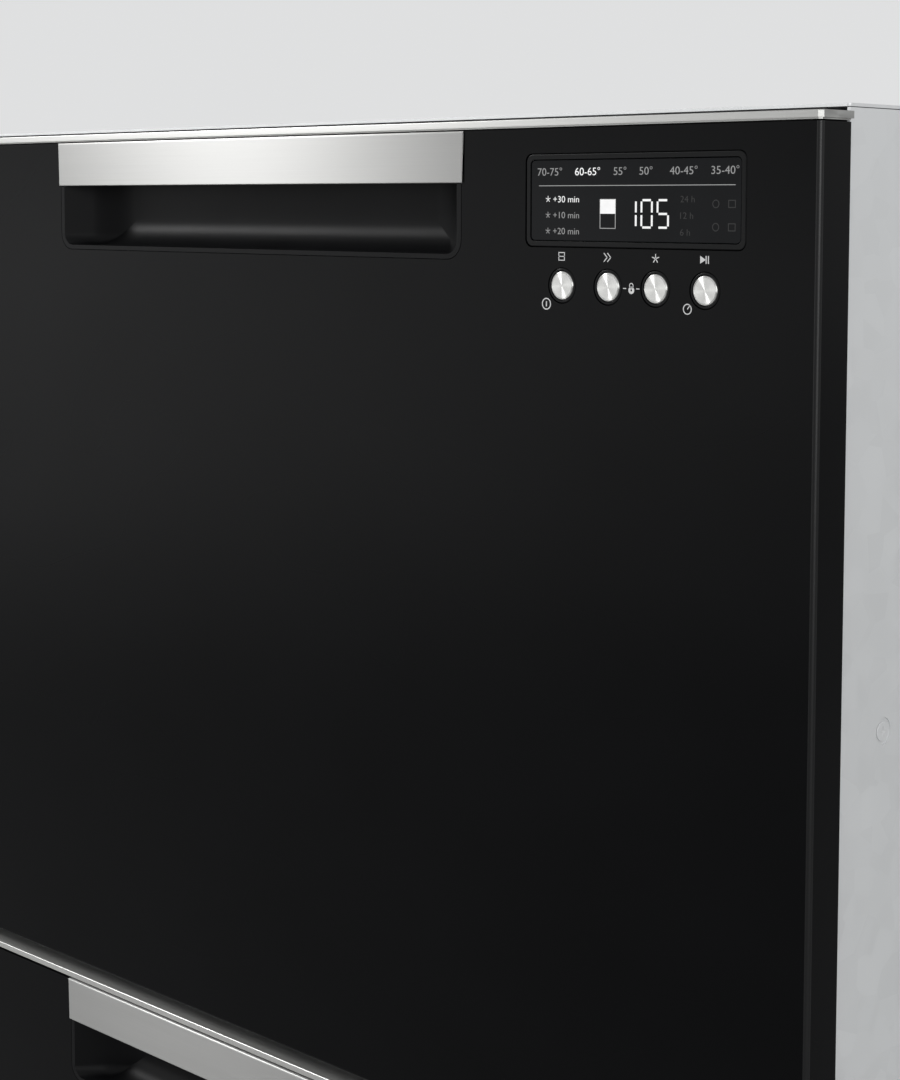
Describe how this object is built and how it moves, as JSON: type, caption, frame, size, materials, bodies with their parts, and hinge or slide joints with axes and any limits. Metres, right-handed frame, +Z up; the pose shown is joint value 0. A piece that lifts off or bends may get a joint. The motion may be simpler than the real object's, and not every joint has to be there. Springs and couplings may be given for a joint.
{
  "type": "dishwasher drawer",
  "caption": "Built-in dishwasher whose stacked full-width drawers slide out on runners, each with a recessed handle, wash tub, rack and spray arm; display and buttons on the upper front.",
  "frame": {"origin": "on the floor, in the middle of the footprint", "axes": "+X to the user's right, the fronts face -Y, +Z up"},
  "size_m": [0.598, 0.573, 0.82],
  "materials": {
    "black_front": "gloss black, lacquered steel look",
    "black_plastic": "satin black moulding",
    "brushed_steel": "fine brushed along the length",
    "satin_trim": "satin, slightly warm grey",
    "inner_steel": "satin dark grey",
    "galvanised_steel": "bright zinc, soft sheen",
    "runner_zinc": "bright zinc plate",
    "tub_plastic": "light grey moulding",
    "lid_plastic": "mid grey moulding",
    "grey_plastic": "dark grey moulding",
    "rack_coating": "grey nylon coat on wire",
    "rubber_seal": "matt black",
    "smoked_window": "smoked, clear gloss",
    "circuit_board": "green board",
    "filter_steel": "perforated stainless"
  },
  "bodies": {
    "cabinet": {"side_panel_left": "galvanised_steel", "side_panel_right": "galvanised_steel", "top_panel": "galvanised_steel", "back_panel": "galvanised_steel", "base_pan": "galvanised_steel", "middle_shelf": "galvanised_steel", "toe_kick": "black_plastic", "hose_grommet": "rubber_seal", "upper_runner_outer_left": "runner_zinc", "upper_runner_outer_right": "runner_zinc", "lower_runner_outer_left": "runner_zinc", "lower_runner_outer_right": "runner_zinc"},
    "upper_drawer": {"upper_front_panel": "black_front", "upper_inner_panel": "inner_steel", "upper_top_trim": "satin_trim", "upper_handle_strip": "brushed_steel", "upper_handle_recess": "black_plastic", "upper_tub": "tub_plastic", "upper_wash_motor": "grey_plastic", "upper_filter_plate": "filter_steel", "upper_dish_rack": "rack_coating", "upper_detergent_cup": "grey_plastic", "upper_runner_inner_left": "runner_zinc", "upper_runner_inner_right": "runner_zinc", "upper_cutlery_basket": "grey_plastic", "control_fascia": "black_plastic", "display_window": "smoked_window", "display_board": "circuit_board"},
    "lower_drawer": {"lower_front_panel": "black_front", "lower_inner_panel": "inner_steel", "lower_top_trim": "satin_trim", "lower_handle_strip": "brushed_steel", "lower_handle_recess": "black_plastic", "lower_tub": "tub_plastic", "lower_wash_motor": "grey_plastic", "lower_filter_plate": "filter_steel", "lower_dish_rack": "rack_coating", "lower_detergent_cup": "grey_plastic", "lower_runner_inner_left": "runner_zinc", "lower_runner_inner_right": "runner_zinc"},
    "upper_lid_unit": {"upper_lid": "lid_plastic", "upper_lid_seal": "rubber_seal"},
    "upper_middle_runner_left": {"upper_runner_middle_left": "runner_zinc"},
    "upper_middle_runner_right": {"upper_runner_middle_right": "runner_zinc"},
    "upper_sprayer": {"upper_spray_arm": "grey_plastic"},
    "upper_flap": {"upper_detergent_flap": "lid_plastic"},
    "lower_lid_unit": {"lower_lid": "lid_plastic", "lower_lid_seal": "rubber_seal"},
    "lower_middle_runner_left": {"lower_runner_middle_left": "runner_zinc"},
    "lower_middle_runner_right": {"lower_runner_middle_right": "runner_zinc"},
    "lower_sprayer": {"lower_spray_arm": "grey_plastic"},
    "lower_flap": {"lower_detergent_flap": "lid_plastic"},
    "drawer_button_cap": {"drawer_button": "brushed_steel"},
    "cycle_button_cap": {"cycle_button": "brushed_steel"},
    "option_button_cap": {"option_button": "brushed_steel"},
    "start_button_cap": {"start_button": "brushed_steel"},
    "foot_front_left_screw": {"foot_front_left": "black_plastic"},
    "foot_front_right_screw": {"foot_front_right": "black_plastic"},
    "foot_rear_left_screw": {"foot_rear_left": "black_plastic"},
    "foot_rear_right_screw": {"foot_rear_right": "black_plastic"}
  },
  "joints": [
    {"name": "upper_drawer_slide", "type": "slide", "parent": "cabinet", "child": "upper_drawer", "axis": [0, -1, 0], "range_m": [0, 0.5]},
    {"name": "upper_middle_runner_left_slide", "type": "slide", "parent": "cabinet", "child": "upper_middle_runner_left", "axis": [0, -1, 0], "range_m": [0, 0.25]},
    {"name": "upper_middle_runner_right_slide", "type": "slide", "parent": "cabinet", "child": "upper_middle_runner_right", "axis": [0, -1, 0], "range_m": [0, 0.25]},
    {"name": "upper_lid_lift", "type": "slide", "parent": "cabinet", "child": "upper_lid_unit", "axis": [0, 0, 1], "range_m": [-0.006, 0]},
    {"name": "upper_spray_arm_spin", "type": "hinge", "parent": "upper_drawer", "child": "upper_sprayer", "pos_m": [0, -0.0135, 0.557], "axis": [0, 0, 1], "continuous": true},
    {"name": "upper_detergent_flap_hinge", "type": "hinge", "parent": "upper_drawer", "child": "upper_flap", "pos_m": [0.1, -0.2362, 0.7121], "axis": [-1, 0, 0], "range_deg": [0, 90]},
    {"name": "lower_drawer_slide", "type": "slide", "parent": "cabinet", "child": "lower_drawer", "axis": [0, -1, 0], "range_m": [0, 0.5]},
    {"name": "lower_middle_runner_left_slide", "type": "slide", "parent": "cabinet", "child": "lower_middle_runner_left", "axis": [0, -1, 0], "range_m": [0, 0.25]},
    {"name": "lower_middle_runner_right_slide", "type": "slide", "parent": "cabinet", "child": "lower_middle_runner_right", "axis": [0, -1, 0], "range_m": [0, 0.25]},
    {"name": "lower_lid_lift", "type": "slide", "parent": "cabinet", "child": "lower_lid_unit", "axis": [0, 0, 1], "range_m": [-0.006, 0]},
    {"name": "lower_spray_arm_spin", "type": "hinge", "parent": "lower_drawer", "child": "lower_sprayer", "pos_m": [0, -0.0135, 0.1473], "axis": [0, 0, 1], "continuous": true},
    {"name": "lower_detergent_flap_hinge", "type": "hinge", "parent": "lower_drawer", "child": "lower_flap", "pos_m": [0.1, -0.2362, 0.3024], "axis": [-1, 0, 0], "range_deg": [0, 90]},
    {"name": "drawer_button_press", "type": "slide", "parent": "upper_drawer", "child": "drawer_button_cap", "axis": [0, 1, 0], "range_m": [0, 0.001], "stiffness_N_per_m": 1500, "springref_m": -0.0004},
    {"name": "cycle_button_press", "type": "slide", "parent": "upper_drawer", "child": "cycle_button_cap", "axis": [0, 1, 0], "range_m": [0, 0.001], "stiffness_N_per_m": 1500, "springref_m": -0.0004},
    {"name": "option_button_press", "type": "slide", "parent": "upper_drawer", "child": "option_button_cap", "axis": [0, 1, 0], "range_m": [0, 0.001], "stiffness_N_per_m": 1500, "springref_m": -0.0004},
    {"name": "start_button_press", "type": "slide", "parent": "upper_drawer", "child": "start_button_cap", "axis": [0, 1, 0], "range_m": [0, 0.001], "stiffness_N_per_m": 1500, "springref_m": -0.0004},
    {"name": "foot_front_left_adjust", "type": "slide", "parent": "cabinet", "child": "foot_front_left_screw", "axis": [0, 0, -1], "range_m": [0, 0.06]},
    {"name": "foot_front_right_adjust", "type": "slide", "parent": "cabinet", "child": "foot_front_right_screw", "axis": [0, 0, -1], "range_m": [0, 0.06]},
    {"name": "foot_rear_left_adjust", "type": "slide", "parent": "cabinet", "child": "foot_rear_left_screw", "axis": [0, 0, -1], "range_m": [0, 0.06]},
    {"name": "foot_rear_right_adjust", "type": "slide", "parent": "cabinet", "child": "foot_rear_right_screw", "axis": [0, 0, -1], "range_m": [0, 0.06]}
  ],
  "couplings": [
    {"joint": "upper_middle_runner_left_slide", "follows": "upper_drawer_slide", "ratio": 0.5},
    {"joint": "upper_middle_runner_right_slide", "follows": "upper_drawer_slide", "ratio": 0.5},
    {"joint": "lower_middle_runner_left_slide", "follows": "lower_drawer_slide", "ratio": 0.5},
    {"joint": "lower_middle_runner_right_slide", "follows": "lower_drawer_slide", "ratio": 0.5}
  ]
}
